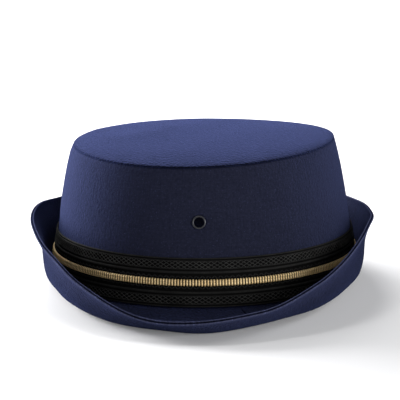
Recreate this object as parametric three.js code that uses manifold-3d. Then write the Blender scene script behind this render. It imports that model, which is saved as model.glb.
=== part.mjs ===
// A navy cloth uniform hat with a rolled brim: an oval crown under a gently domed top panel, a woven
// black band with a gold braid round the foot of the crown, a metal eyelet at the front, and a brim
// that lies low and wide at the front and is turned up high and close at the sides and the back.
//
// Millimetres. +Z is up and z = 0 is the surface the hat rests on. The front of the hat faces -Y.
// Angles round the hat run from 0 at the front, through +X at 90 degrees, to 180 at the back.
import * as THREE from "three";
import { mergeVertices } from "three/addons/utils/BufferGeometryUtils.js";
import Module from "manifold-3d";

const segments = 64; // facets round each oval
const clearance = 0.3; // gap kept between pieces that lie against each other
const weldDistance = 1e-4; // points closer than this are one point
const crownSetBack = 16.9; // with the next, puts the middle of the whole hat at x = 0, y = 0
const crownSetAside = 0.8;
const rootHeight = 6.2; // height of the crown's lower edge above the surface

// The crown's wall: outer half-axes at its lower edge (the root) and at the seam under the top panel.
const crown = {
  wall: 2,
  rootSide: 85,
  rootFront: 102.4,
  seamSide: 72.7,
  seamFront: 87.7,
  seamShift: 1, // how far back the seam's oval is centred
  seamHeight: 72.8, // of the seam above the root
  frontDip: 1.9, // the seam dips by this at the front
  backDip: 1.2, // and by this at the back
  sideTilt: 1.9, // the +X end of the seam is higher by this, the -X end lower, fading to the back
  straightTaper: 0.75, // share of the inward taper that is even, the rest rounds the shoulder
  shoulderPower: 4,
};
const wallOutside = [1, 0.97, 0.92, 0.85, 0.75, 0.6, 0.45, 0.3, 0.15, 0]; // rings, as shares of the height
const wallInside = [0, 0.3, 0.6, 0.85, 1];

// The top panel: a shell laid on the wall like a lid.
const panel = {
  thickness: 2,
  domeRise: 3.6,
};
const panelOutside = [0.3, 0.55, 0.75, 0.88, 0.95, 0.985, 1]; // rings, as shares of the seam's oval
const panelInside = [0.973, 0.83, 0.55, 0.25];

// The brim: one row for each 30 degrees from the front to the back, the same on both sides.
// The middle of its cloth runs from under the crown through these points, and each is a reach
// outwards from the root's oval and a height above the root.
const brim = {
  thickness: 1.8,
  rootReach: -1.8,
  rootDrop: 1.2,
  sideShift: -0.8, // the turned-up part sits this far towards -X,
  shiftReach: 2, // in full from this reach outwards
  stepsPerSpan: 3,
};
const brimRows = [
  { angle: 0, troughReach: 26, troughRise: -5.6, footReach: 33.5, footRise: -4.8,
    bellyReach: 41.5, bellyRise: -1.6, edgeReach: 48.5, edgeRise: 1.6 },
  { angle: 30, troughReach: 16.7, troughRise: -3, footReach: 22.5, footRise: 0.6,
    bellyReach: 26.8, bellyRise: 8.3, edgeReach: 32, edgeRise: 15.5 },
  { angle: 60, troughReach: 3.6, troughRise: -1.2, footReach: 6.3, footRise: 3.5,
    bellyReach: 10.1, bellyRise: 18.7, edgeReach: 16, edgeRise: 30.2 },
  { angle: 90, troughReach: 1.7, troughRise: -1.5, footReach: 3.5, footRise: 2.5,
    bellyReach: 4.9, bellyRise: 20, edgeReach: 9.6, edgeRise: 33.8 },
  { angle: 120, troughReach: 3.5, troughRise: -2.6, footReach: 6, footRise: 1.5,
    bellyReach: 7.4, bellyRise: 17.5, edgeReach: 11.2, edgeRise: 31.1 },
  { angle: 150, troughReach: 5, troughRise: -4.4, footReach: 8, footRise: -0.3,
    bellyReach: 9.6, bellyRise: 16, edgeReach: 13.3, edgeRise: 32 },
  { angle: 180, troughReach: 4.8, troughRise: -5.5, footReach: 9.2, footRise: -2.6,
    bellyReach: 11.2, bellyRise: 15.5, edgeReach: 14.7, edgeRise: 33 },
];

// The woven band, 25 mm wide. Its face steps up and down across its width, alike above and below the
// braid, so each row gives a distance from the braid's centre line and how proud the face stands.
const bandCentre = 13; // height of the braid's centre line above the root
const bandProfile = [
  { distance: 1.9, proud: 0.95 }, // groove under the braid
  { distance: 4.2, proud: 0.95 },
  { distance: 4.6, proud: 1.5 }, // corded ribs
  { distance: 6, proud: 1.5 },
  { distance: 6.4, proud: 1.2 }, // openwork field
  { distance: 11.6, proud: 1.2 },
  { distance: 12.4, proud: 1 }, // selvedge
];
const braid = {
  halfWidth: 1.6,
  back: 1.25, // stands this proud of the crown's cloth at its back
  front: 1.9, // and this proud at its face
};

// The eyelet, a turned ring with a flange on both faces of the wall.
const eyelet = {
  height: 43.6, // of its centre above the root
  bore: 5.4,
  barrel: 6,
  frontFlange: 7.2,
  backFlange: 7.8,
  flangeThickness: 0.5,
  sides: 24,
};

const navyCloth = new THREE.MeshStandardMaterial({ color: 0x2a3060, roughness: 0.92, metalness: 0 });
const blackRibbon = new THREE.MeshStandardMaterial({ color: 0x101014, roughness: 0.6, metalness: 0 });
const goldThread = new THREE.MeshStandardMaterial({ color: 0xb99a63, roughness: 0.45, metalness: 0.5 });
const darkMetal = new THREE.MeshStandardMaterial({ color: 0x4a4c52, roughness: 0.35, metalness: 0.9 });

const angles = Array.from({ length: segments }, (_, i) => (2 * Math.PI * i) / segments);

// Value of a column of a table of rows that are evenly spaced from front to back, at any angle.
function columnAt(rows, column, angle) {
  const step = Math.PI / (rows.length - 1);
  const place = angle / step;
  const first = Math.floor(place);
  const part = place - first;
  const around = 2 * (rows.length - 1);
  const value = (i) => {
    const turn = ((i % around) + around) % around;
    return rows[Math.min(turn, around - turn)][column];
  };
  const [before, from, to, after] = [-1, 0, 1, 2].map((offset) => value(first + offset));
  const slopeFrom = (to - before) / 2;
  const slopeTo = (after - from) / 2;
  const bend = slopeFrom + slopeTo + 2 * (from - to);
  const sag = 3 * (to - from) - 2 * slopeFrom - slopeTo;
  return ((bend * part + sag) * part + slopeFrom) * part + from;
}

// Closed skin over a list of rings, each an array of points round the hat. Where the list starts and
// ends with a single point the skin closes there, and otherwise the last ring joins the first.
function skin(rings) {
  const positions = [];
  const triangle = (a, b, c) => positions.push(...a.toArray(), ...b.toArray(), ...c.toArray());
  const hasPoles = rings[0].length === 1;
  const spans = hasPoles ? rings.length - 1 : rings.length;
  for (let i = 0; i < spans; i++) {
    const lower = rings[i];
    const upper = rings[(i + 1) % rings.length];
    for (let j = 0; j < segments; j++) {
      const next = (j + 1) % segments;
      if (lower.length === 1) triangle(lower[0], upper[next], upper[j]);
      else if (upper.length === 1) triangle(lower[j], lower[next], upper[0]);
      else {
        triangle(lower[j], lower[next], upper[next]);
        triangle(lower[j], upper[next], upper[j]);
      }
    }
  }
  const geometry = new THREE.BufferGeometry();
  geometry.setAttribute("position", new THREE.Float32BufferAttribute(positions, 3));
  const merged = mergeVertices(geometry, weldDistance);
  merged.computeVertexNormals();
  return merged;
}

function seamHeight(angle) {
  const front = Math.max(Math.cos(angle), 0) ** 2;
  const back = Math.max(-Math.cos(angle), 0) ** 2;
  const dip = crown.frontDip * front + crown.backDip * back;
  return crown.seamHeight - dip + crown.sideTilt * Math.sin(angle) * (1 - back);
}

// A point on the crown's wall: an angle, a height above the root, and a distance out from its face.
function wallPoint(angle, height, outwards) {
  const rise = height / seamHeight(angle);
  const even = crown.straightTaper * rise;
  const rounded = (1 - crown.straightTaper) * rise ** crown.shoulderPower;
  const taper = even + rounded;
  const side = THREE.MathUtils.lerp(crown.rootSide, crown.seamSide, taper) + outwards;
  const front = THREE.MathUtils.lerp(crown.rootFront, crown.seamFront, taper) + outwards;
  const y = crown.seamShift * rise - front * Math.cos(angle);
  return new THREE.Vector3(side * Math.sin(angle), y, rootHeight + height);
}

function crownWall() {
  const top = (angle) => seamHeight(angle) - clearance / 2;
  const ring = (share, outwards) => angles.map((a) => wallPoint(a, share * top(a), outwards));
  const inside = wallInside.map((share) => ring(share, -crown.wall));
  const outside = wallOutside.map((share) => ring(share, 0));
  return skin([...outside, ...inside].reverse());
}

// Height of the top panel's upper face over the seam: a shallow dome with a rounded rim.
function domeRise(share) {
  return panel.domeRise * Math.sqrt(1 - share ** 2);
}

function panelPoint(angle, share, lift) {
  const middle = crown.seamHeight * (1 - share ** 2);
  const height = rootHeight + middle + seamHeight(angle) * share ** 2 + clearance / 2 + lift;
  const y = crown.seamShift - share * crown.seamFront * Math.cos(angle);
  return new THREE.Vector3(share * crown.seamSide * Math.sin(angle), y, height);
}

function topPanel() {
  const underside = (share) => Math.max(domeRise(share) - panel.thickness, 0);
  const ring = (share, lift) => angles.map((a) => panelPoint(a, share, lift));
  return skin([
    [panelPoint(0, 0, underside(0))],
    ...panelInside.toReversed().map((share) => ring(share, underside(share))),
    ...panelOutside.toReversed().map((share) => ring(share, domeRise(share))),
    [panelPoint(0, 0, domeRise(0))],
  ]);
}

// The brim's section at an angle, as reach and height of points round its closed outline.
function brimSection(angle) {
  const at = (column) => columnAt(brimRows, column, angle);
  const middle = new THREE.CatmullRomCurve3(
    [
      new THREE.Vector3(brim.rootReach, -brim.rootDrop, 0),
      new THREE.Vector3(at("troughReach"), at("troughRise"), 0),
      new THREE.Vector3(at("footReach"), at("footRise"), 0),
      new THREE.Vector3(at("bellyReach"), at("bellyRise"), 0),
      new THREE.Vector3(at("edgeReach"), at("edgeRise"), 0),
    ],
    false,
    "centripetal",
  );
  const steps = (middle.points.length - 1) * brim.stepsPerSpan;
  const half = brim.thickness / 2;
  const upper = [];
  const lower = [];
  for (let i = 0; i <= steps; i++) {
    const point = middle.getPoint(i / steps);
    const along = middle.getTangent(i / steps);
    upper.push([point.x - half * along.y, point.y + half * along.x]);
    lower.push([point.x + half * along.y, point.y - half * along.x]);
  }
  const edge = middle.getPoint(1).addScaledVector(middle.getTangent(1), half);
  return [...lower, [edge.x, edge.y], ...upper.reverse()];
}

// A point of the brim. Cloth that would reach below the surface is flattened on it.
function brimPoint(angle, [reach, rise]) {
  const root = new THREE.Vector2(crown.rootSide * Math.sin(angle), -crown.rootFront * Math.cos(angle));
  const out = new THREE.Vector2(crown.rootFront * Math.sin(angle), -crown.rootSide * Math.cos(angle));
  root.addScaledVector(out.normalize(), reach);
  const shift = brim.sideShift * THREE.MathUtils.smoothstep(reach, brim.rootReach, brim.shiftReach);
  return new THREE.Vector3(root.x + shift, root.y, Math.max(rootHeight + rise, 0));
}

function rolledBrim() {
  const sections = angles.map(brimSection);
  const rings = sections[0].map((_, i) => angles.map((a, j) => brimPoint(a, sections[j][i])));
  return skin(rings);
}

function hatBand() {
  const below = bandProfile.toReversed().map(({ distance, proud }) => [bandCentre - distance, proud]);
  const above = bandProfile.map(({ distance, proud }) => [bandCentre + distance, proud]);
  const face = [...below, ...above];
  const back = [above.at(-1)[0], bandCentre, below[0][0]].map((height) => [height, clearance]);
  return skin([...face, ...back].map(([height, out]) => angles.map((a) => wallPoint(a, height, out))));
}

function goldBraid() {
  const bevel = 0.4;
  const outline = [
    [-braid.halfWidth, braid.back],
    [-braid.halfWidth, braid.front - bevel],
    [bevel - braid.halfWidth, braid.front],
    [braid.halfWidth - bevel, braid.front],
    [braid.halfWidth, braid.front - bevel],
    [braid.halfWidth, braid.back],
  ];
  return skin(outline.map(([up, out]) => angles.map((a) => wallPoint(a, bandCentre + up, out))));
}

// The eyelet's seat: the point on the wall's face at the front, and the direction straight out of it.
function eyeletSeat() {
  const step = 1;
  const point = wallPoint(0, eyelet.height, 0);
  const up = wallPoint(0, eyelet.height + step, 0).sub(wallPoint(0, eyelet.height - step, 0));
  const out = new THREE.Vector3(1, 0, 0).cross(up).normalize();
  return { point, turn: new THREE.Quaternion().setFromUnitVectors(new THREE.Vector3(0, 1, 0), out) };
}

// Turned about Y, its front towards +Y, with the wall's face at y = 0.
function eyeletRing() {
  const front = clearance + eyelet.flangeThickness;
  const back = -crown.wall - clearance - eyelet.flangeThickness;
  const bore = eyelet.bore / 2;
  const barrel = eyelet.barrel / 2;
  const chamfer = 0.2;
  const profile = [
    [bore, back],
    [eyelet.backFlange / 2, back],
    [eyelet.backFlange / 2, back + eyelet.flangeThickness],
    [barrel, back + eyelet.flangeThickness],
    [barrel, front - eyelet.flangeThickness],
    [eyelet.frontFlange / 2, front - eyelet.flangeThickness],
    [eyelet.frontFlange / 2, front - chamfer],
    [eyelet.frontFlange / 2 - chamfer, front],
    [bore, front],
    [bore, back],
  ];
  return new THREE.LatheGeometry(
    profile.map(([radius, y]) => new THREE.Vector2(radius, y)),
    eyelet.sides,
  );
}

const wasm = await Module();
wasm.setup();

function toSolid(geometry) {
  const plain = geometry.clone();
  plain.deleteAttribute("normal");
  plain.deleteAttribute("uv");
  const merged = mergeVertices(plain, weldDistance);
  return new wasm.Manifold(
    new wasm.Mesh({
      numProp: 3,
      vertProperties: new Float32Array(merged.attributes.position.array),
      triVerts: new Uint32Array(merged.index.array),
    }),
  );
}

function toGeometry(solid) {
  const mesh = solid.getMesh();
  const geometry = new THREE.BufferGeometry();
  geometry.setAttribute("position", new THREE.BufferAttribute(mesh.vertProperties, 3));
  geometry.setIndex(new THREE.BufferAttribute(mesh.triVerts, 1));
  geometry.computeVertexNormals();
  return geometry;
}

// The wall with the eyelet's hole cut through it.
function piercedWall() {
  const { point, turn } = eyeletSeat();
  const radius = eyelet.barrel / 2 + clearance;
  const length = 6 * crown.wall;
  const drill = new THREE.CylinderGeometry(radius, radius, length, eyelet.sides);
  drill.applyQuaternion(turn).translate(...point.toArray());
  return toGeometry(toSolid(crownWall()).subtract(toSolid(drill)));
}

const hat = new THREE.Group();
hat.name = "rolled_brim_hat";
hat.position.set(crownSetAside, crownSetBack, 0);

function addPiece(name, geometry, material) {
  const mesh = new THREE.Mesh(geometry, material);
  mesh.name = name;
  hat.add(mesh);
  return mesh;
}

addPiece("crown_side", piercedWall(), navyCloth);
addPiece("crown_top", topPanel(), navyCloth);
addPiece("brim", rolledBrim(), navyCloth);
addPiece("hat_band", hatBand(), blackRibbon);
addPiece("gold_braid", goldBraid(), goldThread);

const eyeletMesh = addPiece("badge_eyelet", eyeletRing(), darkMetal);
const seat = eyeletSeat();
eyeletMesh.position.copy(seat.point);
eyeletMesh.quaternion.copy(seat.turn);

export default hat;
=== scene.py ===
import math
from functools import lru_cache

import bmesh
import bpy
import numpy as np
from mathutils import Matrix, Vector, noise


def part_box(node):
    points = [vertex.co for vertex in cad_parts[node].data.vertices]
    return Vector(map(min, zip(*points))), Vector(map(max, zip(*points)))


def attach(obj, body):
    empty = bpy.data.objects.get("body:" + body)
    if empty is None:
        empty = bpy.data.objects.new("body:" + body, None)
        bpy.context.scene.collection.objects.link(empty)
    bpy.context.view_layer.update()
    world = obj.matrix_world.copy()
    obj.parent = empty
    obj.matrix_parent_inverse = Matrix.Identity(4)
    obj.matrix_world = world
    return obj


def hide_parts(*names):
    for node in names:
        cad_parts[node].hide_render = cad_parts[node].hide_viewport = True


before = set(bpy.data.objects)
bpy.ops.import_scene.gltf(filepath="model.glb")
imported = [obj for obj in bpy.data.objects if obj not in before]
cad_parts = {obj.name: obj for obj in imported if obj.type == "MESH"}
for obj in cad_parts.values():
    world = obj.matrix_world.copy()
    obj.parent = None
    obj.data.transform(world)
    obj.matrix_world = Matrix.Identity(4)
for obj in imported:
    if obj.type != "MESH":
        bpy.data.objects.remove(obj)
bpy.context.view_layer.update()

mm = 0.001
turn = 2 * math.pi

# The places come from the frame. The foot of the crown is the root that everything is set out from.
# Angles round the hat run from 0 at the front (-Y), through +X, to the back.
wallLow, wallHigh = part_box("crown_side")
topLow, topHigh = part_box("crown_top")
braidLow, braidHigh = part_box("gold_braid")
crownX = (wallLow.x + wallHigh.x) / 2
crownY = (wallLow.y + wallHigh.y) / 2
rootHeight = wallLow.z
rootSide = (wallHigh.x - wallLow.x) / 2
rootFront = (wallHigh.y - wallLow.y) / 2
seamSide = (topHigh.x - topLow.x) / 2
seamFront = (topHigh.y - topLow.y) / 2
seamShift = (topLow.y + topHigh.y) / 2 - crownY
braidCentre = (braidLow.z + braidHigh.z) / 2 - rootHeight

cameraSettings = dict(
    lens=192.2,
    distance=1.2,
    elevation=10.07,  # this and the next two in degrees
    azimuth=1.8,
    roll=-0.42,
    aim=(-0.00157, 0.0169, 0.04475),
)
# The floor's paper glows a little: painted light that lifts its shadows and lights the hat from below.
floorSettings = dict(size=14, drop=0.05 * mm, color=(0.8, 0.8, 0.81, 1), roughness=0.7, glow=0.13)
roomSettings = dict(color=(0.95, 0.97, 1, 1), strength=0.1)
softboxAim = Vector((0, 0, 0.04))  # what they all point at
softboxes = dict(  # degrees round from the front and above the floor, metres away and wide, and watts
    keyLeft=dict(around=-128, above=11, away=2, size=0.9, power=140),
    backLeft=dict(around=-150, above=15, away=2, size=0.8, power=40),
    highBack=dict(around=-165, above=48, away=2, size=0.8, power=24),
    sideRight=dict(around=120, above=23, away=2, size=0.8, power=20),
    fillRight=dict(around=50, above=13, away=2, size=0.8, power=22),
    frontFill=dict(around=0, above=14, away=2, size=0.8, power=5),
)


def directionTo(around, above):
    return Vector((
        math.sin(around) * math.cos(above),
        -math.cos(around) * math.cos(above),
        math.sin(above),
    ))


def addCamera():
    s = cameraSettings
    elevation, azimuth, roll = (math.radians(s[name]) for name in ("elevation", "azimuth", "roll"))
    back = directionTo(azimuth, elevation)
    level = (-back).cross(Vector((0, 0, 1))).normalized()
    upright = level.cross(-back)
    right = level * math.cos(roll) + upright * math.sin(roll)
    up = upright * math.cos(roll) - level * math.sin(roll)
    bpy.ops.object.select_all(action="DESELECT")
    bpy.ops.object.camera_add()
    camera = bpy.context.object
    camera.name = "studioCamera"
    camera.data.lens = s["lens"]
    place = Matrix.Translation(Vector(s["aim"]) + back * s["distance"])
    camera.matrix_world = place @ Matrix((right, up, back)).transposed().to_4x4()
    bpy.context.scene.camera = camera
    print("camera set")


def addFloor():
    s = floorSettings
    bpy.ops.object.select_all(action="DESELECT")
    bpy.ops.mesh.primitive_plane_add(size=s["size"], location=(0, 0, -s["drop"]))
    bpy.ops.object.transform_apply()
    floor = bpy.context.object
    floor.name = "studioFloor"
    paper, tree, shader = newMaterial("palePaper")
    setSockets(tree, shader, {
        "Base Color": s["color"],
        "Roughness": s["roughness"],
        "Specular IOR Level": 0,
        "Emission Color": s["color"],
        "Emission Strength": s["glow"],
    })
    floor.data.materials.append(paper)
    print("floor laid")


def addLights():
    scene = bpy.context.scene
    scene.view_settings.view_transform = "Standard"
    world = bpy.data.worlds.new("paleRoom")
    world.use_nodes = True
    room = world.node_tree.nodes["Background"]
    room.inputs["Color"].default_value = roomSettings["color"]
    room.inputs["Strength"].default_value = roomSettings["strength"]
    scene.world = world
    for name, s in softboxes.items():
        place = s["away"] * directionTo(math.radians(s["around"]), math.radians(s["above"]))
        bpy.ops.object.select_all(action="DESELECT")
        bpy.ops.object.light_add(type="AREA", location=place)
        lamp = bpy.context.object
        lamp.name = name
        lamp.data.shape = "SQUARE"
        lamp.data.size = s["size"]
        lamp.data.energy = s["power"]
        lamp.rotation_euler = (softboxAim - place).to_track_quat("-Z", "Y").to_euler()
    print("lights set")


def newMaterial(name):
    material = bpy.data.materials.new(name)
    material.use_nodes = True
    return material, material.node_tree, material.node_tree.nodes["Principled BSDF"]


def setSockets(tree, node, sockets):
    # Each socket gets a plain value, or a link where the value is another node's socket.
    for socket, value in sockets.items():
        if isinstance(value, bpy.types.NodeSocket):
            tree.links.new(value, node.inputs[socket])
        else:
            node.inputs[socket].default_value = value


def addNode(tree, kind, sockets, **settings):
    node = tree.nodes.new("ShaderNode" + kind)
    for name, value in settings.items():
        setattr(node, name, value)
    setSockets(tree, node, sockets)
    return node


def mathOf(tree, operation, *values):
    return addNode(tree, "Math", dict(enumerate(values)), operation=operation).outputs["Value"]


def noiseAt(tree, coordinates, scale, detail=2):
    stretched = addNode(tree, "Mapping", {"Vector": coordinates, "Scale": scale})
    sockets = {"Vector": stretched.outputs["Vector"], "Scale": 1, "Detail": detail}
    return addNode(tree, "TexNoise", sockets).outputs["Fac"]


def spread(tree, value, low, high, toLow=0.0, toHigh=1.0):
    sockets = {"Value": value, "From Min": low, "From Max": high, "To Min": toLow, "To Max": toHigh}
    return addNode(tree, "MapRange", sockets).outputs["Result"]


def blended(tree, factor, first, second):
    sockets = {"Factor": factor, "A": first, "B": second}
    return addNode(tree, "Mix", sockets, data_type="RGBA").outputs["Result"]


def relief(tree, height, strength, distance):
    sockets = {"Height": height, "Strength": strength, "Distance": distance}
    return addNode(tree, "Bump", sockets).outputs["Normal"]


clothSettings = dict(
    dark=(0.0095, 0.0105, 0.0195, 1),
    light=(0.0205, 0.0225, 0.0415, 1),
    lint=(0.035, 0.042, 0.09, 1),
    # The grain's scales, as how many to a metre, and the share that each has in the shade.
    clouds=45,
    cloudShare=0.5,
    heather=620,
    heatherShare=1.5,
    shadeRange=(1.2, 2.8),  # of the threads, clouds and heather together, from dark to light
    lintGrain=1300,
    lintRange=(0.64, 0.78),
    yarn=0.55 * mm,  # from one thread to the next
    slub=14 * mm,  # length over which one thread stays thicker
    ridgeWander=0.6,
    # How high the dimples and thick threads stand against the weave's own ridges.
    dimples=160,  # to a metre
    dimpleHeight=4,
    slubHeight=1.2,
    bump=0.9,
    bumpDepth=0.1 * mm,
    roughness=0.9,
    specular=0,
    sheenRoughness=0.5,
    sheenTint=(0.275, 0.365, 1, 1),
)
clothKinds = dict(  # its sheen, how much lighter its colour is painted (painted light, on the brim), and how high its nap stands
    wall=dict(name="navyCrownCloth", sheen=0.177, lift=1.0, nap=7),
    top=dict(name="navyTopCloth", sheen=0.2, lift=1.0, nap=16),
    brim=dict(name="navyBrimCloth", sheen=0.093, lift=1.33, nap=13),
)


def navyCloth(name, sheen, lift, nap):
    s = clothSettings
    cloth, tree, shader = newMaterial(name)
    weave = addNode(tree, "UVMap", {}, uv_map="cloth").outputs["UV"]

    def grain(size, detail=2):
        return noiseAt(tree, weave, (size, size, 1), detail)

    def ridges(axis):
        sockets = {
            "Vector": weave,
            "Scale": turn / (20 * s["yarn"]),  # a scale of 1 gives 20 radians to a metre
            "Distortion": s["ridgeWander"],
            "Detail": 1,
        }
        return addNode(tree, "TexWave", sockets, bands_direction=axis).outputs["Fac"]

    across, along = 1 / s["yarn"], 1 / s["slub"]
    warp = noiseAt(tree, weave, (across, along, 1))
    weft = noiseAt(tree, weave, (along, across, 1))
    threads = mathOf(tree, "ADD", warp, weft)
    heather = grain(s["heather"])
    clouded = mathOf(tree, "MULTIPLY_ADD", grain(s["clouds"], detail=3), s["cloudShare"], threads)
    shade = mathOf(tree, "MULTIPLY_ADD", heather, s["heatherShare"], clouded)
    dyed = blended(tree, spread(tree, shade, *s["shadeRange"]), s["dark"], s["light"])
    caught = spread(tree, grain(s["lintGrain"], detail=1), *s["lintRange"])
    linted = blended(tree, caught, dyed, s["lint"])
    # Each ring's painted light makes the cloth lighter or darker there: painted shade in the seams, grooves,
    # crease and under the brim, and painted highlights along the brim's edge.
    paintedLight = addNode(tree, "Attribute", {}, attribute_name="paintedLight").outputs["Fac"]
    # lift paints this copy of the cloth lighter all over, as on the brim.
    paintedBrightness = mathOf(tree, "MULTIPLY_ADD", paintedLight, lift, lift)
    withPaintedLight = addNode(tree, "VectorMath", {0: linted, "Scale": paintedBrightness}, operation="SCALE")

    knit = mathOf(tree, "MULTIPLY", ridges("X"), ridges("Y"))
    felted = mathOf(tree, "MULTIPLY_ADD", heather, nap, knit)
    dimples = grain(s["dimples"], detail=1)
    dimpled = mathOf(tree, "MULTIPLY_ADD", dimples, s["dimpleHeight"], felted)
    height = mathOf(tree, "MULTIPLY_ADD", threads, s["slubHeight"], dimpled)
    setSockets(tree, shader, {
        "Base Color": withPaintedLight.outputs["Vector"],
        "Normal": relief(tree, height, s["bump"], s["bumpDepth"]),
        "Roughness": s["roughness"],
        "Specular IOR Level": s["specular"],
        "Sheen Weight": sheen,
        "Sheen Roughness": s["sheenRoughness"],
        "Sheen Tint": s["sheenTint"],
    })
    return cloth


yarnSettings = dict(
    strand=0.12 * mm,
    strandDraw=0.3,  # the grain's scale along X and Y, as a share of that up Z
    patches=120,
    patchShare=0.5,
    shadeRange=(0.5, 1.0),
    bump=0.4,
    bumpDepth=0.05 * mm,
)
yarnKinds = dict(
    # The ground is the ribbon's black, painted darker still as the shade in the openwork's holes.
    ground=dict(name="blackRibbonGround", dark=(0.0025, 0.0025, 0.0025, 1),
                light=(0.005, 0.005, 0.005, 1), roughness=0.9, metallic=0, specular=0.05),
    # The mesh yarn is the cords' black, painted lighter as the sheen of its satin threads.
    mesh=dict(name="blackMeshYarn", dark=(0.02, 0.02, 0.0195, 1),
              light=(0.068, 0.068, 0.066, 1), roughness=0.8, metallic=0, specular=0.05),
    cord=dict(name="blackYarn", dark=(0.009, 0.009, 0.009, 1),
              light=(0.028, 0.028, 0.027, 1), roughness=0.85, metallic=0, specular=0.04),
    ribs=dict(name="goldThread", dark=(0.78, 0.53, 0.23, 1),
              light=(1, 0.77, 0.41, 1), roughness=0.48, metallic=0.25, specular=0.5),
    # The core's dark brown is its own colour, darkened further as painted shade in the gaps between the gold
    # ribs.
    core=dict(name="goldCoreThread", dark=(0.025, 0.016, 0.007, 1),
              light=(0.06, 0.042, 0.018, 1), roughness=0.6, metallic=0.3, specular=0.5),
)


def yarnOf(name, dark, light, roughness, metallic, specular):
    s = yarnSettings
    yarn, tree, shader = newMaterial(name)
    place = addNode(tree, "TexCoord", {}).outputs["Object"]
    drawn = s["strandDraw"] / s["strand"]
    fibres = noiseAt(tree, place, (drawn, drawn, 1 / s["strand"]))
    patches = noiseAt(tree, place, (s["patches"],) * 3)
    shade = mathOf(tree, "MULTIPLY_ADD", patches, s["patchShare"], fibres)
    setSockets(tree, shader, {
        "Base Color": blended(tree, spread(tree, shade, *s["shadeRange"]), dark, light),
        "Normal": relief(tree, fibres, s["bump"], s["bumpDepth"]),
        "Roughness": roughness,
        "Metallic": metallic,
        "Specular IOR Level": specular,
    })
    return yarn


gunmetalSettings = dict(color=(0.07, 0.072, 0.08, 1), wear=900, roughness=(0.22, 0.42))


def gunmetal():
    s = gunmetalSettings
    metal, tree, shader = newMaterial("gunmetalEyelet")
    place = addNode(tree, "TexCoord", {}).outputs["Object"]
    wear = noiseAt(tree, place, (s["wear"],) * 3, detail=4)
    setSockets(tree, shader, {
        "Base Color": s["color"],
        "Metallic": 1,
        "Roughness": spread(tree, wear, 0, 1, *s["roughness"]),
    })
    return metal


def evenAngles(count):
    return [turn * i / count for i in range(count)]


def startRing(name, angles):
    # Every skin grows ring by ring from a circle whose points remember their angle and their ring.
    bpy.ops.object.select_all(action="DESELECT")
    bpy.ops.mesh.primitive_circle_add(vertices=len(angles), radius=1)
    piece = bpy.context.object
    piece.name = name
    bpy.ops.object.mode_set(mode="EDIT")
    bpy.ops.mesh.select_all(action="SELECT")
    shape = bmesh.from_edit_mesh(piece.data)
    angleOf = shape.verts.layers.float.new("angle")
    ringOf = shape.verts.layers.int.new("ring")
    shape.verts.ensure_lookup_table()
    for vert in shape.verts:
        place = math.atan2(vert.co.x, -vert.co.y) % turn
        vert[angleOf] = angles[round(place / turn * len(angles)) % len(angles)]
        vert[ringOf] = 0
    bmesh.update_edit_mesh(piece.data)
    return piece


def layRing(piece, placeAt, ring):
    shape = bmesh.from_edit_mesh(piece.data)
    angleOf = shape.verts.layers.float["angle"]
    ringOf = shape.verts.layers.int["ring"]
    for vert in shape.verts:
        if vert.select:
            vert.co = placeAt(vert[angleOf])
            vert[ringOf] = ring
    bmesh.update_edit_mesh(piece.data)


def extrudeRings(piece, places):
    for ring, placeAt in enumerate(places):
        if ring:
            bpy.ops.mesh.extrude_region_move()
        layRing(piece, placeAt, ring)


def selectRings(piece, *rings):
    bpy.ops.mesh.select_all(action="DESELECT")
    shape = bmesh.from_edit_mesh(piece.data)
    ringOf = shape.verts.layers.int["ring"]
    for edge in shape.edges:
        first, second = (vert[ringOf] for vert in edge.verts)
        if first == second and first in rings:
            edge.select_set(True)
    bmesh.update_edit_mesh(piece.data)


def outwardFaces():
    bpy.ops.mesh.select_all(action="SELECT")
    bpy.ops.mesh.normals_make_consistent(inside=False)
    bpy.ops.object.mode_set(mode="OBJECT")
    bpy.ops.object.shade_smooth()


def closedSkin(name, angles, places):
    piece = startRing(name, angles)
    extrudeRings(piece, places)
    selectRings(piece, 0, len(places) - 1)
    bpy.ops.mesh.bridge_edge_loops()
    outwardFaces()
    return piece


def cappedTube(name, sides, places):
    piece = startRing(name, evenAngles(sides))
    extrudeRings(piece, places)
    for ring in (0, len(places) - 1):
        selectRings(piece, ring)
        bpy.ops.mesh.edge_face_add()
    outwardFaces()
    return piece


def clothMap(piece, coordinate):
    # Lays the cloth's own map, in metres, with its seam at the back.
    mesh = piece.data
    laid = mesh.uv_layers.new(name="cloth")
    angles = [item.value for item in mesh.attributes["angle"].data]
    for face in mesh.polygons:
        around = [(angles[v] + math.pi) % turn - math.pi for v in face.vertices]
        if max(around) - min(around) > math.pi:
            around = [angle + turn if angle < 0 else angle for angle in around]
        for loop, vert, angle in zip(face.loop_indices, face.vertices, around):
            laid.data[loop].uv = coordinate(angle, mesh.vertices[vert].co)


def paintLightOnRings(piece, paintedLightByRing, extraAt=lambda ring, angle: 0):
    # Painted light for each ring: how much lighter or darker than the cloth each ring is painted, from -1,
    # and 0 where nothing is said.
    mesh = piece.data
    rings = [item.value for item in mesh.attributes["ring"].data]
    angles = [item.value for item in mesh.attributes["angle"].data]
    paintedLight = mesh.attributes.new("paintedLight", "FLOAT", "POINT")
    for item, ring, angle in zip(paintedLight.data, rings, angles):
        item.value = max(paintedLightByRing.get(ring, 0) + extraAt(ring, angle), -1)


def lengthAlong(points):
    steps = np.linalg.norm(np.diff(points, axis=0), axis=1)
    return np.concatenate(([0], np.cumsum(steps)))


def lengthRound(placeAt, count=720):
    # Angles from back to back with the length along the line up to each.
    angles = np.linspace(-math.pi, math.pi, count + 1)
    return angles, lengthAlong(np.array([placeAt(angle) for angle in angles]))


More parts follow.
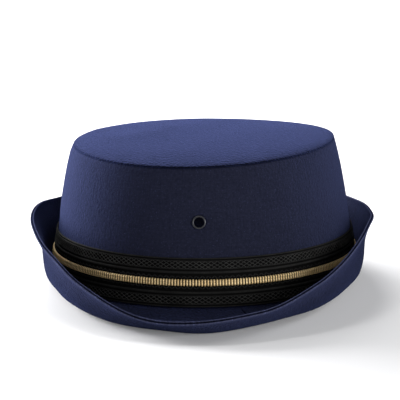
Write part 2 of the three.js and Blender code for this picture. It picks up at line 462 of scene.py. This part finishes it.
def repeated(piece, count, step):
    row = piece.modifiers.new("row", "ARRAY")
    row.count = count
    row.use_relative_offset = False
    row.use_constant_offset = True
    row.constant_offset_displace = (step, 0, 0)
    bpy.context.view_layer.objects.active = piece
    bpy.ops.object.modifier_apply(modifier=row.name)


def wrapRound(piece, placeAt):
    # A flat strip runs along x, with y out of its face and z across it.
    mesh = piece.data
    flat = np.empty(len(mesh.vertices) * 3)
    mesh.vertices.foreach_get("co", flat)
    flat = flat.reshape(-1, 3)
    laid = placeAt(flat[:, 0], flat[:, 2], flat[:, 1])
    mesh.vertices.foreach_set("co", np.ascontiguousarray(laid, dtype=float).ravel())
    mesh.update()
    bpy.ops.object.mode_set(mode="EDIT")
    outwardFaces()


def joined(pieces):
    bpy.ops.object.select_all(action="DESELECT")
    for piece in pieces:
        piece.select_set(True)
    bpy.context.view_layer.objects.active = pieces[0]
    bpy.ops.object.join()
    return bpy.context.object


def finished(piece, material, slot, *nodes):
    # Gives a piece its material, and takes away the plain nodes that it stands for.
    piece.data.materials.clear()
    piece.data.materials.append(material)
    if nodes:
        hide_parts(*nodes)
    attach(piece, "root")
    faces = sum(len(face.vertices) - 2 for face in piece.data.polygons)
    print(piece.name, "made,", faces, "triangles")


def limited(share):
    return min(max(share, 0), 1)


def degreesFrom(around, angle):
    # How far an angle is past a place that is given in degrees, or before it.
    return (math.degrees(angle) - around + 180) % 360 - 180


seedShift = (1, 0.37, 1.7)  # how far each step of the seed moves the place where the noise is read


def waver(point, size, depth, seed):
    # A soft wandering of the cloth: size is from one swell to the next.
    apart = Vector([seed * shift for shift in seedShift])
    return depth * noise.noise(Vector(point) / size + apart)


crownShape = dict(
    wall=2 * mm,
    seamHeight=72.8 * mm,  # above the root, before the dips and the tilt
    frontDip=1.9 * mm,
    backDip=1.2 * mm,
    sideTilt=1.9 * mm,  # up towards +X and down towards -X
    leftRise=1 * mm,  # how much higher than that this hat's seam sits on its -X side
    # This share of the wall's taper is even from foot to seam, and the rest comes at the shoulder.
    straightTaper=0.75,
    shoulderPower=4,
    domeRise=4.5 * mm,  # of the middle of the top panel
    seamGap=0.12 * mm,  # between the wall and the panel's edge
)


def seamHeightAt(angle):
    front = np.maximum(np.cos(angle), 0) ** 2
    back = np.maximum(-np.cos(angle), 0) ** 2
    dip = crownShape["frontDip"] * front + crownShape["backDip"] * back
    left = crownShape["leftRise"] * np.maximum(-np.sin(angle), 0) ** 4
    return crownShape["seamHeight"] - dip + left + crownShape["sideTilt"] * np.sin(angle) * (1 - back)


def wallPoint(angle, height, outwards):
    # The height is above the root, and outwards is from the cloth's face.
    rise = height / seamHeightAt(angle)
    straight = crownShape["straightTaper"]
    taper = straight * rise + (1 - straight) * np.abs(rise) ** crownShape["shoulderPower"]
    side = rootSide + (seamSide - rootSide) * taper + outwards
    front = rootFront + (seamFront - rootFront) * taper + outwards
    return np.stack(np.broadcast_arrays(
        crownX + side * np.sin(angle),
        crownY + seamShift * rise - front * np.cos(angle),
        rootHeight + height,
    ), axis=-1)


def panelPoint(angle, share, lift):
    # The share runs from the middle of the panel to its seam, and the lift is above the seam.
    middle = crownShape["seamHeight"] * (1 - share**2)
    height = rootHeight + middle + seamHeightAt(angle) * share**2 + lift
    return np.array((
        crownX + share * seamSide * math.sin(angle),
        crownY + seamShift - share * seamFront * math.cos(angle),
        height,
    ))


wallSettings = dict(
    around=160,
    # Shares of the height up the face, and then down the back of the cloth.
    rings=(0, 0.08, 0.16, 0.24, 0.32, 0.4, 0.48, 0.56, 0.64, 0.72, 0.79, 0.85, 0.9, 0.94),
    inside=(0.97, 0.85, 0.6, 0.3, 0),
    # Over the seam, between the two: below it and out from the face, in millimetres, and the painted shade
    # of the seam's groove.
    roll=((2.6, 0, 0), (1.7, 0, 0), (1.1, -0.02, 0), (0.7, -0.09, -0.15), (0.42, -0.22, -0.6),
          (0.24, -0.42, -0.85), (0.16, -0.7, -0.95), (0.15, -1.3, 0)),
    swell=46 * mm,
    swellDepth=0.5 * mm,
    swellSeed=3,
    bandTop=26 * mm,  # up to here the band holds the cloth still, and over the next stretch it comes free
    freeOver=12 * mm,
    puckerLength=7 * mm,
    puckerDepth=0.28 * mm,
    puckerReach=5 * mm,
    puckerSeed=7,
    # This wall is fuller on its -X side: degrees round, then the share of the height and how far out.
    fullAround=-82,
    fullWidth=34,
    fullProfile=((0, 0), (0.4, 0), (0.52, 0.45 * mm), (0.7, 0.5 * mm), (0.84, 0.6 * mm),
                 (0.94, 0.6 * mm), (1, 0)),
)


def puckered(point, below):
    # How far the seam's stitches pull the cloth about, fading away from the seam.
    s = wallSettings
    pull = waver(point, s["puckerLength"], s["puckerDepth"], s["puckerSeed"])
    return pull * math.exp(-abs(below) / s["puckerReach"])


def wallCloth(angle, height, outwards):
    s = wallSettings
    still = wallPoint(angle, height, 0)
    free = limited((height - s["bandTop"]) / s["freeOver"])
    moved = free * waver(still, s["swell"], s["swellDepth"], s["swellSeed"])
    moved += puckered(still, seamHeightAt(angle) - height)
    away = degreesFrom(s["fullAround"], angle)
    shares, fullness = zip(*s["fullProfile"])
    full = np.interp(height / seamHeightAt(angle), shares, fullness)
    moved += full * math.exp(-((away / s["fullWidth"]) ** 2))
    return wallPoint(angle, height, outwards + moved)


def crownSide():
    s = wallSettings

    def ringAt(share, below, outwards):
        return lambda angle: wallCloth(angle, share * (seamHeightAt(angle) - below * mm), outwards)

    places = [ringAt(share, 0, 0) for share in s["rings"]]
    paintedLightByRing = {len(places) + i: paintedLight for i, (_, _, paintedLight) in enumerate(s["roll"])}
    places += [ringAt(1, below, out * mm) for below, out, _ in s["roll"]]
    places += [ringAt(share, 0, -crownShape["wall"]) for share in s["inside"]]
    piece = closedSkin("crownSideCloth", evenAngles(s["around"]), places)
    angles, lengths = lengthRound(lambda angle: wallPoint(angle, 0, 0))
    whole = lengths[-1]

    def coordinate(angle, point):
        beyond = angle > math.pi
        along = np.interp(angle - turn if beyond else angle, angles, lengths) + (whole if beyond else 0)
        return along, point.z

    clothMap(piece, coordinate)
    paintLightOnRings(piece, paintedLightByRing)
    return piece


panelSettings = dict(
    around=160,
    outside=(1, 0.9985, 0.995, 0.987, 0.975, 0.955, 0.92, 0.87, 0.81, 0.74, 0.66, 0.57, 0.47, 0.37),
    inside=(0.975, 0.9, 0.8, 0.6, 0.37),
    seamPaintedShade=(-0.95, -0.8, -0.45, -0.1),  # painted shade along the seam, on the first rings outside
    thickness=2 * mm,
    swell=38 * mm,
    swellDepth=0.9 * mm,
    swellSeed=11,
    # A lump near the seam at the back of the -X side: degrees round, share of the panel, size and rise.
    lump=dict(around=-114, share=0.92, size=11 * mm, rise=0.9 * mm),
    # The seam holds both down: the higher the power, the nearer to the seam they end.
    swellPower=6,
    lumpPower=12,
)


def crownTop(cloth):
    s = panelSettings
    lump = s["lump"]

    def rounded(share):
        return crownShape["seamGap"] + crownShape["domeRise"] * math.sqrt(max(1 - share**2, 0))

    def clothAt(angle, share, lift):
        still = panelPoint(angle, share, lift)
        below = (1 - share) * seamSide
        swell = waver(still, s["swell"], s["swellDepth"], s["swellSeed"])
        still[2] += swell * (1 - share ** s["swellPower"])
        apart = math.dist(still[:2], panelPoint(math.radians(lump["around"]), lump["share"], 0)[:2])
        rise = lump["rise"] * math.exp(-((apart / lump["size"]) ** 2))
        still[2] += rise * (1 - share ** s["lumpPower"])
        pulled = puckered(panelPoint(angle, 1, 0), below)
        still[:2] += pulled * np.array((math.sin(angle), -math.cos(angle)))
        return still

    def outer(share):
        return lambda angle: clothAt(angle, share, rounded(share))

    def inner(share):
        lift = max(rounded(share) - s["thickness"], crownShape["seamGap"])
        return lambda angle: clothAt(angle, share, lift)

    places = [inner(share) for share in reversed(s["inside"])] + [outer(share) for share in s["outside"]]
    piece = startRing("crownTopCloth", evenAngles(s["around"]))
    extrudeRings(piece, places)
    for ring in (0, len(places) - 1):
        selectRings(piece, ring)
        bpy.ops.mesh.fill_grid(span=s["around"] // 4)
    outwardFaces()
    clothMap(piece, lambda angle, point: (point.x, point.y))
    paintLightOnRings(piece, {len(s["inside"]) + i: paintedLight for i, paintedLight in enumerate(s["seamPaintedShade"])})
    finished(piece, cloth, "navy_cloth", "crown_top")


eyeletSettings = dict(
    height=43.6 * mm,  # of its centre above the root
    hole=6.6 * mm,  # across, through the cloth
    punch=12 * mm,  # length of the tool that cuts it
    around=48,
    outline=(  # radius and place along the axis, in millimetres, from the back of the bore
        (2.7, -2.75), (2.7, -1.2), (2.7, 0.3), (2.73, 0.52), (2.83, 0.7), (3.0, 0.79), (3.18, 0.8),
        (3.38, 0.74), (3.53, 0.58), (3.6, 0.38), (3.55, 0.2), (3.3, 0.12), (3.0, 0.1), (3.0, -2.2),
        (3.75, -2.25), (3.9, -2.4), (3.9, -2.65), (3.75, -2.8), (3.0, -2.8),
    ),
)


def eyeletSeat():
    # Its centre on the cloth, and its axis straight out of the wall.
    height = eyeletSettings["height"]
    step = 0.1 * mm
    centre = Vector(wallCloth(0, height, 0))
    up = Vector(wallPoint(0, height + step, 0) - wallPoint(0, height - step, 0)).normalized()
    return centre, Vector((1, 0, 0)).cross(up).normalized()


def badgeEyelet(metal):
    s = eyeletSettings
    centre, axis = eyeletSeat()
    bpy.ops.object.select_all(action="DESELECT")
    firstRadius, firstPlace = s["outline"][0]
    bpy.ops.mesh.primitive_circle_add(
        vertices=s["around"],
        radius=firstRadius * mm,
        location=centre + axis * firstPlace * mm,
        rotation=axis.to_track_quat("Z", "Y").to_euler(),
    )
    bpy.ops.object.transform_apply()
    piece = bpy.context.object
    piece.name = "badgeEyelet"
    bpy.ops.object.mode_set(mode="EDIT")
    bpy.ops.mesh.select_all(action="SELECT")
    lastRadius, lastPlace = firstRadius, firstPlace
    for radius, place in s["outline"][1:]:
        bpy.ops.mesh.extrude_region_move()
        bpy.ops.transform.translate(value=axis * (place - lastPlace) * mm)
        grow = radius / lastRadius
        bpy.ops.transform.resize(value=(grow, grow, grow), center_override=centre + axis * place * mm)
        lastRadius, lastPlace = radius, place
    bpy.ops.mesh.select_all(action="SELECT")
    bpy.ops.mesh.region_to_loop()
    bpy.ops.mesh.bridge_edge_loops()
    outwardFaces()
    finished(piece, metal, "gunmetal", "badge_eyelet")


def punchHole(piece):
    # The eyelet's hole, through the front of the wall.
    centre, axis = eyeletSeat()
    bpy.ops.object.select_all(action="DESELECT")
    bpy.ops.mesh.primitive_cylinder_add(
        vertices=eyeletSettings["around"],
        radius=eyeletSettings["hole"] / 2,
        depth=eyeletSettings["punch"],
        location=centre,
        rotation=axis.to_track_quat("Z", "Y").to_euler(),
    )
    punch = bpy.context.object
    hole = piece.modifiers.new("hole", "BOOLEAN")
    hole.object = punch
    hole.operation = "DIFFERENCE"
    hole.solver = "EXACT"
    bpy.context.view_layer.objects.active = piece
    bpy.ops.object.modifier_apply(modifier=hole.name)
    bpy.data.objects.remove(punch)


bandSettings = dict(
    around=192,
    face=(  # distance from the braid's centre line and how proud of the crown, in millimetres
        (12.5, 0.5), (12.4, 0.62), (11.2, 0.62), (9.0, 0.58), (6.7, 0.62), (4.4, 0.62), (3.0, 0.62),
        (1.75, 0.7), (0.9, 0.75),
    ),
    back=0.3,  # how proud of the crown the back of it is
    wrap=1.2,  # how proud of the crown the length round it is measured
    cordSides=10,
)
# Cords woven into the band. These and the threads below are in millimetres from the braid's centre
# line, and proud of the crown.
cordSettings = (
    dict(name="Selvedge", distance=12.25, halfWidth=0.3, halfDepth=0.3, proud=0.85),
    dict(name="OuterBorder", distance=10.95, halfWidth=0.28, halfDepth=0.3, proud=0.95),
    dict(name="InnerBorder", distance=7.0, halfWidth=0.3, halfDepth=0.3, proud=0.95),
    dict(name="Cord", distance=5.2, halfWidth=0.6, halfDepth=0.5, proud=1.0),
)
meshSettings = dict(
    count=184,  # threads each way round the hat
    sides=6,
    low=7.05,
    high=10.85,
    slope=0.95 / 1.6,  # rise for each millimetre along
    halfWidth=0.165,
    halfDepth=0.2,
    proud=0.98,
    weave=0.16,  # how far over and under the others it goes
    crossing=0.95,  # rise from one crossing to the next
)
waveSettings = dict(
    count=184,
    sides=6,
    low=2.15,
    high=3.3,
    slope=1.15 / 1.6,
    halfWidth=0.34,
    halfDepth=0.2,
    proud=0.92,
    weave=0.1,
    crossing=1.15,
)
ribSettings = dict(
    count=376,
    sides=8,
    width=0.94,
    thickness=0.32,
    route=(  # across the braid and proud of the crown
        (-1.6, 1.0), (-1.56, 1.38), (-1.28, 1.75), (-0.85, 1.87), (-0.4, 1.77), (0, 1.65),
        (0.4, 1.77), (0.85, 1.87), (1.28, 1.75), (1.56, 1.38), (1.6, 1.0),
    ),
)
coreSettings = dict(
    outline=((1.5, 1.0), (1.5, 1.2), (0.85, 1.5), (0.3, 1.38)),  # one half of it, as the ribs' route
)


def onLine(distance, proud):
    # A line round the crown, beside the braid's centre line and proud of the wall, in millimetres.
    return lambda angle: wallPoint(angle, braidCentre + distance * mm, proud * mm)


bandAngles, bandLengths = lengthRound(onLine(0, bandSettings["wrap"]))
bandLength = bandLengths[-1]


def onBand(along, across, outwards):
    angle = np.interp(along % bandLength, bandLengths, bandAngles)
    return wallPoint(angle, braidCentre + across, outwards)


def mirrored(outline):
    return [(-distance, proud) for distance, proud in outline]


def bandBase(ground):
    s = bandSettings
    edge = s["face"][0][0]
    outline = [*s["face"], *reversed(mirrored(s["face"]))]
    outline += [(distance, s["back"]) for distance in (-edge, 0, edge)]
    places = [onLine(*row) for row in outline]
    piece = closedSkin("bandGround", evenAngles(s["around"]), places)
    finished(piece, ground, "black_ribbon", "hat_band")


def bandCord(s, side, yarn):
    places = []
    for phase in evenAngles(bandSettings["cordSides"]):
        distance = side * (s["distance"] + s["halfWidth"] * math.cos(phase))
        places.append(onLine(distance, s["proud"] + s["halfDepth"] * math.sin(phase)))
    name = ("upper" if side > 0 else "lower") + s["name"]
    piece = closedSkin(name, evenAngles(bandSettings["around"]), places)
    finished(piece, yarn, "black_ribbon")


def slantedThread(name, s, lean, lift):
    # One thread across an openwork field, over and under those that lean the other way, which are
    # met at every other step.
    places = []
    steps = round((s["high"] - s["low"]) / s["crossing"]) * 2
    tilt = math.atan2(s["slope"], lean)
    for i in range(steps + 1):
        share = i / steps
        across = s["low"] + (s["high"] - s["low"]) * share
        along = lean * (across - s["low"]) / s["slope"]
        out = s["proud"] + lift * s["weave"] * math.cos(math.pi * i / 2)

        def placeAt(phase, across=across, along=along, out=out):
            wide = s["halfWidth"] * math.cos(phase)
            return Vector((
                along - wide * math.sin(tilt),
                out + s["halfDepth"] * math.sin(phase),
                across + wide * math.cos(tilt),
            )) * mm

        places.append(placeAt)
    return cappedTube(name, s["sides"], places)


def openwork(name, s, yarn, side):
    # The threads lean both ways, and side is 1 above the braid and -1 below it.
    piece = joined([slantedThread(name, s, 1, 1), slantedThread(name + "Back", s, -1, -1)])
    repeated(piece, s["count"], bandLength / s["count"])
    wrapRound(piece, lambda along, across, out: onBand(along, side * across, out))
    finished(piece, yarn, "black_ribbon")


def braidRibs(gold):
    # One bent thread across the braid, repeated all the way round.
    s = ribSettings
    places = []
    route = [Vector((0, out, across)) for across, out in s["route"]]
    for i, point in enumerate(route):
        ahead = route[min(i + 1, len(route) - 1)] - route[max(i - 1, 0)]
        outward = Vector((1, 0, 0)).cross(ahead).normalized()
        if outward.dot(Vector((0, 1, 0))) < 0:
            outward.negate()

        def placeAt(phase, point=point, outward=outward):
            wide = Vector((s["width"] / 2 * math.cos(phase), 0, 0))
            return (point + wide + outward * (s["thickness"] / 2 * math.sin(phase))) * mm

        places.append(placeAt)
    piece = cappedTube("braidRibs", s["sides"], places)
    repeated(piece, s["count"], bandLength / s["count"])
    wrapRound(piece, onBand)
    finished(piece, gold, "gold_braid", "gold_braid")


def braidCore(thread):
    half = coreSettings["outline"]
    places = [onLine(*row) for row in [*mirrored(half), *reversed(half)]]
    piece = closedSkin("braidCore", evenAngles(bandSettings["around"]), places)
    finished(piece, thread, "gold_braid")


brimSettings = dict(
    around=192,
    thickness=1.8 * mm,
    rootReach=-1.8 * mm,
    rootDrop=1.2 * mm,
    # The whole brim sits this far to the side, from where it clears the crown.
    sideShift=-0.8 * mm,
    shiftReach=2 * mm,
    rings=20,  # between the root and the hem
    curveSteps=40,  # between two points of a row below
    hem=3 * mm,
    # Two plies meet in a groove at the edge: distance from the edge in millimetres, the share of the
    # cloth's thickness there, and the painted light underneath and on top: painted highlights along the edge
    # and painted shade in the groove.
    hemRows=((2.2, 1.06, 0.05, 0), (1.6, 1.14, 0.3, 0), (1.1, 1.2, 0.55, 0), (0.65, 1.22, 0.8, 0.1),
             (0.3, 1.14, 1, 0.6), (0.1, 0.98, 1.4, 1.6), (0, 0.78, 1.5, 1.9), (0.04, 0.56, 0.3, 0.5),
             (0.2, 0.36, -0.6, -0.6), (0.5, 0.2, -0.9, -0.9), (0.85, 0.12, -0.95, -0.95)),
    swell=34 * mm,
    swellDepth=1.1 * mm,
    swellSeed=23,
    swellFree=14 * mm,  # out from the root, where the swell is whole
    shadedTone=-0.3,  # painted shade on the upper face beside the band, gone by shadedShare of the way out
    shadedShare=0.5,
    paintedUnderShade=-0.5,  # painted shade underneath, gone by underShare of the way out
    underShare=1.1,
    underFade=0.4,
    mapRise=0.6,  # of its rise, added to the reach so that the weave keeps its size up the roll
)
# A short crease across the brim's upper face at the front, with painted shade along it: degrees, then metres
# out from the root.
brimCrease = dict(
    around=15,
    width=0.22,
    near=4 * mm,
    far=17 * mm,
    taper=1 * mm,  # at either end
    depth=0.7 * mm,
    # painted shade along the crease
    paintedLight=-0.9,
    lines=(-2.4, -1.5, -1, -0.5, 0.5, 1, 1.5, 2.4),  # where points are added, in widths from its middle
)
# One row for each 30 degrees from front to back, in millimetres: the trough, the foot of the roll, its
# belly and its edge, as points of the middle of the cloth, out from the root's oval and up from the root.
brimRows = [
    dict(troughReach=26, troughRise=-5.6, footReach=33.5, footRise=-4.8,
         bellyReach=41.5, bellyRise=-1, edgeReach=48.5, edgeRise=3.6),
    dict(troughReach=16.7, troughRise=-3, footReach=22.5, footRise=0.6,
         bellyReach=26.8, bellyRise=7.9, edgeReach=32, edgeRise=14.6),
    dict(troughReach=3.6, troughRise=-1.2, footReach=6.3, footRise=3.5,
         bellyReach=10.1, bellyRise=18.7, edgeReach=16, edgeRise=30.2),
    dict(troughReach=1.7, troughRise=-1.5, footReach=3.5, footRise=2.5,
         bellyReach=4.9, bellyRise=20, edgeReach=9.6, edgeRise=33.8),
    dict(troughReach=3.5, troughRise=-2.6, footReach=6, footRise=1.5,
         bellyReach=7.4, bellyRise=17.5, edgeReach=11.2, edgeRise=31.1),
    dict(troughReach=5, troughRise=-4.4, footReach=8, footRise=-0.3,
         bellyReach=9.6, bellyRise=16, edgeReach=13.3, edgeRise=32),
    dict(troughReach=4.8, troughRise=-5.5, footReach=9.2, footRise=-2.6,
         bellyReach=11.2, bellyRise=15.5, edgeReach=14.7, edgeRise=33),
]
# Places where this brim was bent by hand: degrees round and how far that reaches, then out and up
# in millimetres.
brimBends = (
    dict(around=-96, width=20, edgeReach=-0.2, edgeRise=1.1),
    dict(around=-38, width=13, edgeReach=-2.3, edgeRise=1.7),
    dict(around=-24, width=12, troughRise=-1.7, footRise=-1.3),
    dict(around=-24, width=6, edgeRise=-0.5),
    dict(around=-10, width=8, edgeRise=-1.9),
    dict(around=7, width=7, edgeRise=0.7),
    dict(around=18, width=7, edgeRise=-1.1),
    dict(around=22, width=16, troughRise=1.1, footRise=1.1),
    dict(around=46, width=14, edgeReach=-0.5, edgeRise=0.5),
    dict(around=96, width=22, edgeReach=-0.9, edgeRise=-0.9),
)


def bentBy(column, angle):
    total = 0
    for bend in brimBends:
        away = degreesFrom(bend["around"], angle)
        total += bend.get(column, 0) * mm * math.exp(-((away / bend["width"]) ** 2))
    return total


def cubicBetween(start, end, slopeStart, slopeEnd):
    # The two upper factors of the cubic that leaves start and reaches end at these slopes.
    return slopeStart + slopeEnd + 2 * (start - end), 3 * (end - start) - 2 * slopeStart - slopeEnd


def columnAt(column, angle):
    # Smooth value between the rows, which are mirrored round the other side.
    place = (angle % turn) / (math.pi / (len(brimRows) - 1))
    first = math.floor(place)
    part = place - first
    around = 2 * (len(brimRows) - 1)
    values = []
    for offset in (-1, 0, 1, 2):
        step = (first + offset) % around
        values.append(brimRows[min(step, around - step)][column] * mm)
    before, start, end, after = values
    slope = (end - before) / 2
    bend, sag = cubicBetween(start, end, slope, (after - start) / 2)
    return ((bend * part + sag) * part + slope) * part + start + bentBy(column, angle)


def splineThrough(points, steps):
    # A centripetal spline through the points: places on it and its direction at each.
    p = np.vstack((2 * points[0] - points[1], points, 2 * points[-1] - points[-2]))
    t = np.linspace(0, 1, steps, endpoint=False)[:, None]
    places, directions = [], []
    for i in range(len(points) - 1):
        before, start, end, after = p[i:i + 4]
        one, two, three = (np.linalg.norm(p[i + k + 1] - p[i + k]) ** 0.5 for k in range(3))
        slope = two * ((start - before) / one - (end - before) / (one + two) + (end - start) / two)
        slopeEnd = two * ((end - start) / two - (after - start) / (two + three) + (after - end) / three)
        bend, sag = cubicBetween(start, end, slope, slopeEnd)
        span = t if i < len(points) - 2 else np.append(t, [[1]], axis=0)
        places.append(((bend * span + sag) * span + slope) * span + start)
        directions.append((3 * bend * span + 2 * sag) * span + slope)
    directions = np.vstack(directions)
    return np.vstack(places), directions / np.linalg.norm(directions, axis=1)[:, None]


@lru_cache(maxsize=None)
def brimSection(angle):
    # Lengths along the middle of the cloth from the root, with the place and direction at each.
    s = brimSettings
    points = [(s["rootReach"], -s["rootDrop"])]
    points += [(columnAt(name + "Reach", angle), columnAt(name + "Rise", angle))
               for name in ("trough", "foot", "belly", "edge")]
    places, directions = splineThrough(np.array(points), s["curveSteps"])
    return lengthAlong(places), places, directions


def brimLength(angle):
    return brimSection(angle)[0][-1]


def creaseAt(angle, length):
    # 1 at the bottom of the crease and 0 away from it.
    s = brimCrease
    away = degreesFrom(s["around"], angle) / s["width"]
    ends = limited((length - s["near"]) / s["taper"]) * limited((s["far"] - length) / s["taper"])
    return ends * math.exp(-away * away)


def brimPoint(angle, length, side, thickness):
    # The length runs along the middle of the cloth from the root, and side is 1 under the brim
    # and -1 on it.
    s = brimSettings
    lengths, places, directions = brimSection(angle)
    reach, rise = (np.interp(length, lengths, places[:, k]) for k in (0, 1))
    alongReach, alongRise = (np.interp(length, lengths, directions[:, k]) for k in (0, 1))
    out = np.array((rootFront * math.sin(angle), -rootSide * math.cos(angle)))
    out /= np.linalg.norm(out)
    foot = np.array((crownX + rootSide * math.sin(angle), crownY - rootFront * math.cos(angle)))
    free = limited(length / s["swellFree"])
    still = (*(foot + out * reach), rise)
    swell = waver(still, s["swell"], s["swellDepth"], s["swellSeed"])
    offset = side * thickness / 2 + swell * free * free
    if side < 0:
        offset += creaseAt(angle, length) * brimCrease["depth"]
    reach += offset * alongRise
    rise -= offset * alongReach
    shift = limited((reach - s["rootReach"]) / (s["shiftReach"] - s["rootReach"]))
    x, y = foot + out * reach
    x += s["sideShift"] * shift * shift * (3 - 2 * shift)
    return np.array((x, y, max(rootHeight + rise, 0)))


def rolledBrim(cloth):
    s = brimSettings

    def inner(share, side):
        return lambda angle: brimPoint(
            angle, share * (brimLength(angle) - s["hem"]), side, s["thickness"])

    def hem(distance, thickness, side):
        return lambda angle: brimPoint(
            angle, brimLength(angle) - distance * mm, side, thickness * s["thickness"])

    # Out underneath, round the edge and back on top.
    shares = [i / s["rings"] for i in range(s["rings"] + 1)]
    hemRows = [(distance, thickness, below, 1) for distance, thickness, below, _ in s["hemRows"]]
    hemRows += [(distance, thickness, above, -1) for distance, thickness, _, above in reversed(s["hemRows"])]
    places = [inner(share, 1) for share in shares]
    places += [hem(distance, thickness, side) for distance, thickness, _, side in hemRows]
    topRing = len(places)
    places += [inner(share, -1) for share in reversed(shares)]

    # Painted shade underneath and beside the band, and the hem's painted highlights and shade.
    paintedLightByRing = {i: s["paintedUnderShade"] * limited((s["underShare"] - share) / s["underFade"])
             for i, share in enumerate(shares)}
    paintedLightByRing.update({len(shares) + i: paintedLight for i, (_, _, paintedLight, _) in enumerate(hemRows)})
    paintedLightByRing.update({topRing + i: s["shadedTone"] * max(1 - share / s["shadedShare"], 0)
                  for i, share in enumerate(reversed(shares))})

    crease = brimCrease
    creaseLines = [math.radians(crease["around"] + crease["width"] * line) for line in crease["lines"]]
    piece = closedSkin("brimCloth", sorted(evenAngles(s["around"]) + creaseLines), places)

    # Painted shade along the crease, on the upper face only.
    def paintedCreaseShade(ring, angle):
        if ring < topRing:
            return 0
        share = shares[len(shares) - 1 - (ring - topRing)]
        return crease["paintedLight"] * creaseAt(angle, share * (brimLength(angle) - s["hem"]))

    def coordinate(angle, point):
        reach = math.hypot(point.x - crownX, point.y - crownY) + s["mapRise"] * point.z
        return reach * math.sin(angle), -reach * math.cos(angle)

    clothMap(piece, coordinate)
    paintLightOnRings(piece, paintedLightByRing, paintedCreaseShade)
    finished(piece, cloth, "navy_cloth", "brim")


addCamera()
addFloor()
addLights()
cloths = {kind: navyCloth(**settings) for kind, settings in clothKinds.items()}
yarns = {kind: yarnOf(**settings) for kind, settings in yarnKinds.items()}
print("cloths and yarns dyed")

wall = crownSide()
punchHole(wall)
finished(wall, cloths["wall"], "navy_cloth", "crown_side")
crownTop(cloths["top"])
badgeEyelet(gunmetal())
bandBase(yarns["ground"])
openwork("upperOpenwork", meshSettings, yarns["mesh"], 1)
openwork("lowerOpenwork", meshSettings, yarns["mesh"], -1)
openwork("upperWave", waveSettings, yarns["cord"], 1)
openwork("lowerWave", waveSettings, yarns["cord"], -1)
for cord in cordSettings:
    bandCord(cord, 1, yarns["cord"])
    bandCord(cord, -1, yarns["cord"])
braidCore(yarns["core"])
braidRibs(yarns["ribs"])
rolledBrim(cloths["brim"])
